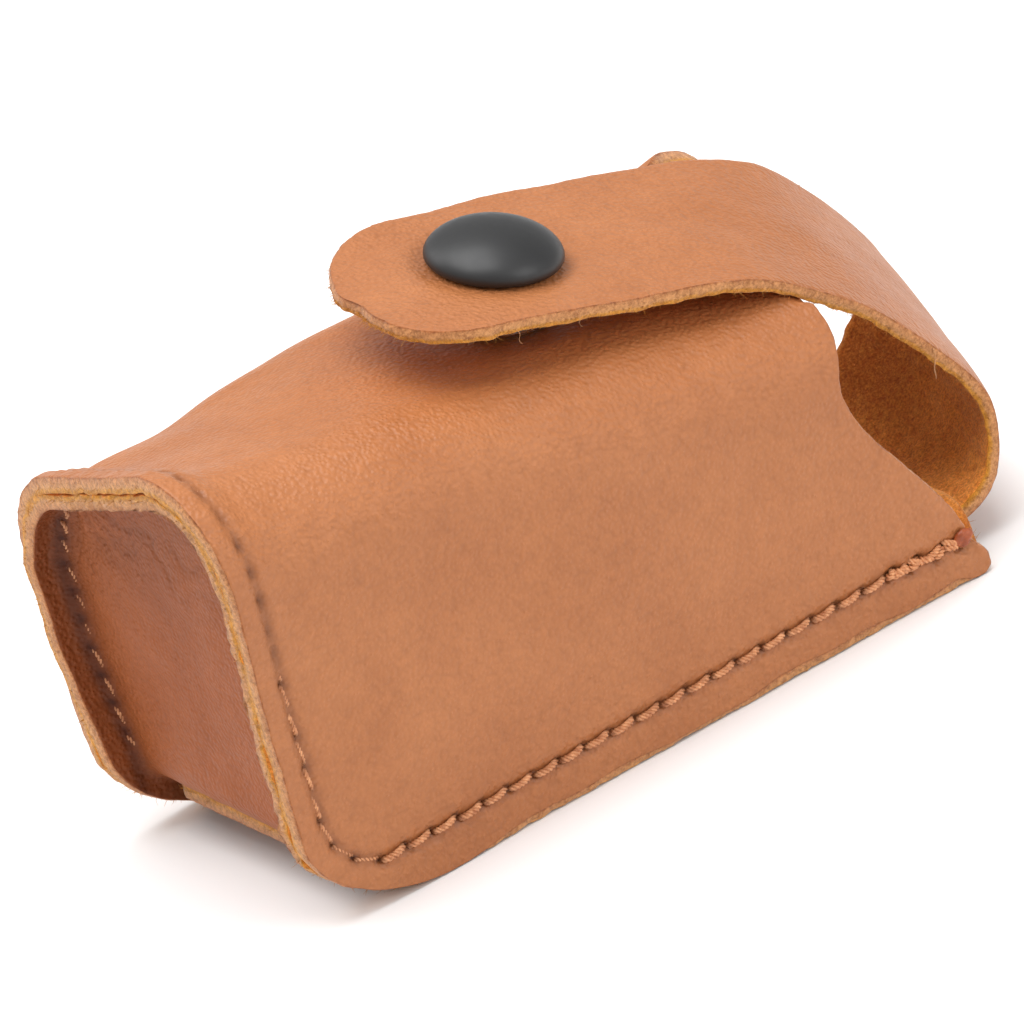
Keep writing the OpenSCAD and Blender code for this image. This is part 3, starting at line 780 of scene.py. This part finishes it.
def strap_piece(name, u0, u1, seed):
    """One piece of the strap, cut from the same full-length surface."""
    us = np.concatenate([np.linspace(1, 4, 110)[:-1], np.linspace(4, U_SPLIT, 90)[:-1],
                         U_SPLIT + (TIP_AT - 0.004 - U_SPLIT) * np.sin(np.linspace(0, math.pi / 2, 150))])
    p, w = strap_grid(us)
    rows, nw = p.shape[:2]
    v = p.reshape(-1, 3)
    f = grid_faces(rows, nw)
    if normals(v, f)[(rows // 2) * nw + nw // 2][0] < 0:
        f = f[:, ::-1]
    row_n = unit(np.cross(cross_dir(us), heading(us)))
    row_n = row_n * np.sign(row_n[-1] @ SNAP_N)
    nn = np.repeat(row_n, nw, axis=0)
    uu = np.repeat(us, nw)
    ww = np.tile(w, rows)
    free = ease((uu - 5) / 1.5)
    lift = 0.05 * waves(v, 9, 61) + 0.12 * np.abs(ww) ** 3 * waves(v * np.array([1, 0.2, 1]), 17, 62)
    snap_r = np.linalg.norm(v - SNAP_C, axis=1)
    lift = lift * free * ease((snap_r - 5.5) / 4) - 0.22 * np.exp(-((snap_r - 6.6) / 0.9) ** 2)
    lift = lift + 0.5 * ease((uu - 14.4) / 1.8) * np.clip((0.6 - ww) / 1.6, 0, 1) * ease((snap_r - 5.5) / 4)
    v = v + nn * lift[:, None]
    cup = np.clip(ww, 0, 1) ** 1.6 * ease((uu - 4.8) / 1.2) * (1 - ease((uu - 7.2) / 1.8))
    v = v + cup[:, None] * np.array([-2.8, 0, 2.8])
    # Painted shade: inside the loop the suede gets darker towards the strap's back edge, where the loop lies in
    # shadow.
    dim = 1 - 0.66 * ease((ww + 0.5) / 1.3) * ease((uu - 5) / 1) * (1 - ease((uu - 11.5) / 1.5))
    # Painted shade: a dark ring on the strap just outside the rim of the snap cap, where the cap presses into
    # the leather; a faint random tone is added.
    sh = np.clip(1 - 0.25 * np.exp(-((snap_r - 6.4) / 0.7) ** 2) + 0.02 * waves(v, 4, 66), 0, 1)
    mine = (uu >= u0 - 1e-6) & (uu <= u1 + 1e-6)
    ids = np.nonzero(mine)[0]
    back = np.full(len(v), -1)
    back[ids] = np.arange(len(ids))
    f = back[f[np.all(mine[f], axis=1)]]
    m = Mesh()
    leather(m, v[ids], f, seed=seed, shade=sh[ids], flesh_shade=(sh * dim)[ids],
            th=(1.25 + 0.35 * (1 - ease((uu - 4.5) / 3)))[ids], fuzz=620, ragged=0.06,
            flesh_rough=0.06, n=nn[ids], butt=np.abs(uu[ids] - U_SPLIT) < 1e-6)
    nap = ids[(uu[ids] > 5) & (uu[ids] < 12)]
    if len(nap):
        fibres(m, v[nap] - nn[nap] * 1.28, -nn[nap], 2600, seed + 3, (0.2, 0.6), 0.022, 2)
    if u0 < 2:
        whisker(m, [[76.7, 5.5, 19.3], [76.5, 5.2, 18.5], [76.1, 5.2, 17.6],
                    [76.2, 5.4, 16.9], [76.0, 5.2, 16.6]], 0.08)
        whisker(m, [[76.4, 5.4, 18.2], [76.8, 5.0, 18.0], [76.9, 4.9, 17.8]], 0.055)
    else:
        for x, z in ((43.2, 39.6), (50.5, 38.0), (37.0, 41.0)):
            whisker(m, [[x, 5.5, z + 0.5], [x + 0.1, 5.0, z], [x - 0.2, 4.9, z - 0.5],
                        [x - 0.1, 4.7, z - 0.9]], 0.035)
    return m.build(name, LEATHER)


U_SPLIT = 10.2
lower = strap_piece("strap_lower_run", 1.0, U_SPLIT, 71)
upper = strap_piece("strap_upper_flap", U_SPLIT, TIP_AT, 71)
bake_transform(lower)
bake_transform(upper)
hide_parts("strap_base")
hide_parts("strap_flap", "strap_loop")

# ------------------------------------------------------------------ thread
def strand(mesh, pts, r=0.33, plies=3, turn=1.15, start=0.0, shade=1.0, sides=7):
    """Plies twisted round the line given."""
    pts = np.asarray(pts, float)
    t = np.gradient(pts, axis=0)
    t = unit(t)
    run = np.r_[0, np.cumsum(np.linalg.norm(np.diff(pts, axis=0), axis=1))]
    ref = np.array([0.13, 0.31, 0.94]) if abs(t[len(t) // 2][2]) < 0.8 else np.array([1.0, 0.2, 0.1])
    a = unit(np.cross(t, ref))
    b = unit(np.cross(t, a))
    pr = r * 0.53
    for k in range(plies):
        ph = start + 2 * math.pi * (run / turn + k / plies)
        c = pts + (a * np.cos(ph)[:, None] + b * np.sin(ph)[:, None]) * (r - pr)
        ring = []
        for j in range(len(pts)):
            for i in range(sides):
                g = 2 * math.pi * i / sides
                ring.append(c[j] + pr * (a[j] * math.cos(g) + b[j] * math.sin(g)))
        f = [(sides * j + i, sides * j + (i + 1) % sides,
              sides * (j + 1) + (i + 1) % sides, sides * (j + 1) + i)
             for j in range(len(pts) - 1) for i in range(sides)]
        f += [tuple(range(sides))[::-1], tuple(sides * (len(pts) - 1) + i for i in range(sides))]
        mesh.add(np.array(ring), f, 0, 0.5, np.repeat(shade, sides))


def stitches(mesh, holes, seed, r=0.33, inner=True, slant=0.16, sink=0.0):
    """Lock stitches from hole to hole on the outside, and on the inside too unless inner is off."""
    rnd = np.random.RandomState(seed)
    tt = np.linspace(0, 1, 17)
    for side in ((1, -1) if inner else (1,)):
        for (p, n), (q, n2) in zip(holes[:-1], holes[1:]):
            p, q = np.array(p, float), np.array(q, float)
            nn = unit(np.array(n, float) + np.array(n2, float)) * side
            if side < 0:
                p, q = p - np.array(n) * FLANGE, q - np.array(n2) * FLANGE
            along = unit(q - p)
            across = np.cross(along, nn)
            rise = 0.77 - (sink if side > 0 else -0.06) + rnd.uniform(-0.03, 0.04)
            hgt = -0.75 + rise * np.sin(math.pi * tt) ** 0.4
            sl = slant * (1 - 2 * tt) + rnd.uniform(-0.04, 0.04)
            pts = flare(p + (q - p) * (0.08 + 0.84 * tt)[:, None] + nn * hgt[:, None] + across * sl[:, None])
            # Painted shade: each stitch darkens towards its ends, where it sinks into the holes, and the inner
            # stitches in the recess are darker still.
            sh = np.clip(0.25 + 1.4 * np.sin(math.pi * tt), 0, 1) * (1.0 if side > 0 else 0.75)
            strand(mesh, pts, r * rnd.uniform(0.95, 1.06), start=rnd.uniform(0, 6), shade=sh)


for name, holes, cad, sink in (("front_bottom_seam", f_bottom, "seam_front", 0.0),
                               ("front_end_seam", [f_bottom[-1]] + f_end, "seam_front_end", 0.54),
                               ("top_end_seam", [f_end[-1]] + t_seam + [b_end[-1]], "seam_top", 0.3),
                               ("back_end_seam", [b_bottom[-1]] + b_end, "seam_back_end", 0.26),
                               ("back_bottom_seam", b_bottom, "seam_back", 0.0)):
    m = Mesh()
    stitches(m, holes, len(name), r=0.34 if sink == 0 else 0.26, sink=sink)
    ob = m.build(name, [thread])
    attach(ob, "pouch")
    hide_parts(cad)

for side in ("front", "back"):
    n = np.array([0, -1.0 if side == "front" else 1.0, 0])
    y0 = 0.0 if side == "front" else W
    m = Mesh()
    start = f_bottom[0] if side == "front" else b_bottom[0]
    tack = [start] + TACK[side]
    stitches(m, tack, 17, r=0.36, slant=0.05)
    zig = [([63.6 + 1.9 * k, y0, SEAM_H + (0.45 if k % 2 else -0.4)], n.tolist()) for k in range(5)]
    stitches(m, zig, 23, r=0.33, inner=False, slant=-0.1)
    ob = m.build(f"{side}_bartack", [tack_thread])
    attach(ob, "pouch")
    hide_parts(f"bartack_{side}")
    # the melted end is a lumpy bead
    lat, lon = 22, 30
    v, f = [], []
    for i in range(lat + 1):
        for j in range(lon):
            a, b = math.pi * i / lat, 2 * math.pi * j / lon
            v.append([math.sin(a) * math.cos(b) * 0.85, math.sin(a) * math.sin(b) * 0.5, math.cos(a) * 0.7])
    v = np.array(v)
    v *= (1 + 0.13 * waves(v, 1.3, 91) + 0.05 * waves(v, 0.6, 92))[:, None]
    tilt = np.array([[0.93, 0, 0.37], [0, 1, 0], [-0.37, 0, 0.93]])
    v = v @ tilt + np.array([71.5, y0, SEAM_H + 0.1]) + n * 0.18
    for i in range(lat):
        for j in range(lon):
            f.append((i * lon + j, i * lon + (j + 1) % lon, (i + 1) * lon + (j + 1) % lon, (i + 1) * lon + j))
    m = Mesh()
    m.add(v, f, 0, 0.5, np.clip(0.9 + 0.15 * waves(v, 0.8, 93), 0, 1))
    ob = m.build(f"{side}_melted_end", [melted])
    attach(ob, "pouch")
    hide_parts(f"thread_end_{side}")

# ------------------------------------------------------------------ snap
def turned(name, profile, mat, body, cad, seg=128):
    """A round part turned about the snap's axis."""
    z = SNAP_N
    xa = unit(np.cross([0, 1.0, 0], z))
    ya = np.cross(z, xa)
    prof = np.array(profile, float)
    v, f = [], []
    for j in range(seg):
        a = 2 * math.pi * j / seg
        for r, hh in prof:
            v.append(SNAP_C + (xa * math.cos(a) + ya * math.sin(a)) * r + z * hh)
    k = len(prof)
    for j in range(seg):
        for i in range(k - 1):
            f.append((j * k + i, j * k + i + 1, ((j + 1) % seg) * k + i + 1, ((j + 1) % seg) * k + i))
    m = Mesh()
    m.add(np.array(v), f, 0)
    ob = m.build(name, [mat])
    bm = bmesh.new()
    bm.from_mesh(ob.data)
    bmesh.ops.remove_doubles(bm, verts=bm.verts, dist=1e-7)
    bmesh.ops.recalc_face_normals(bm, faces=bm.faces)
    bm.to_mesh(ob.data)
    bm.free()
    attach(ob, body)
    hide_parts(cad)


R = 6.25
dome = [(0, 3.5)] + [(R * math.sin(a), 0.62 + 2.88 * math.cos(a) ** 1.15) for a in np.linspace(0.06, 1.5, 26)]
lip = [(R - 0.45 + 0.45 * math.cos(a), 0.55 - 0.5 * math.sin(a)) for a in np.linspace(0, 1.3, 7)]
post = [(R - 0.9, -0.02), (1.7, -0.02), (1.7, -2.35), (2.5, -2.5), (2.5, -2.7), (0, -2.7)]
turned("snap_cap_dome", dome + lip + post, black, "flap", "snap_cap")
for cad, mat in (("snap_socket", steel), ("snap_spring", steel), ("snap_stud", steel), ("stud_post", black)):
    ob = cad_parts[cad]
    ob.data.materials.clear()
    ob.data.materials.append(mat)

# ------------------------------------------------------------------ stage, light, camera
floor_mat, nt, p = new_mat("pale_floor")
p.inputs["Base Color"].default_value = (0.92, 0.92, 0.92, 1)
p.inputs["Roughness"].default_value = 0.8
me = bpy.data.meshes.new("floor")
me.from_pydata([(-6, -6, -0.0001), (6, -6, -0.0001), (6, 6, -0.0001), (-6, 6, -0.0001)], [], [(0, 1, 2, 3)])
me.materials.append(floor_mat)
floor = bpy.data.objects.new("floor", me)
bpy.context.scene.collection.objects.link(floor)

world = bpy.data.worlds.new("studio")
world.use_nodes = True
bg = world.node_tree.nodes["Background"]
bg.inputs["Color"].default_value = (1, 1, 1, 1)
bg.inputs["Strength"].default_value = 0.62
bpy.context.scene.world = world
bpy.context.scene.view_settings.view_transform = "Standard"


def area(name, loc, size, power, target=(0, 0, 0.02)):
    li = bpy.data.lights.new(name, "AREA")
    li.shape, li.size, li.energy = "SQUARE", size, power
    ob = bpy.data.objects.new(name, li)
    ob.location = loc
    ob.rotation_euler = (Vector(target) - Vector(loc)).to_track_quat("-Z", "Y").to_euler()
    bpy.context.scene.collection.objects.link(ob)


area("key", (-0.1, 0.05, 0.9), 0.8, 9.0)
area("front", (0.45, -0.75, 0.45), 0.5, 2.6)
area("rim", (-0.3, 0.6, 0.5), 0.4, 1.2)

right = unit(np.array([0.794, -0.556, -0.244]))
up = np.array([0.440, 0.250, 0.862])
up = unit(up - right * (up @ right))
back = np.cross(right, up)
target = to_frame([37.8, 16.85, 19.1])
dist = 3.0
VIEW_WIDTH = 1.024 / 11.36
cam = bpy.data.cameras.new("camera")
cam.sensor_width = 36
cam.lens = cam.sensor_width * dist / VIEW_WIDTH
cam.clip_start, cam.clip_end = 0.01, 20
co = bpy.data.objects.new("camera", cam)
rot = Matrix(np.stack([right, up, back], 1).tolist()).to_4x4()
co.matrix_world = Matrix.Translation(Vector(target + back * dist)) @ rot
bpy.context.scene.collection.objects.link(co)
bpy.context.scene.camera = co
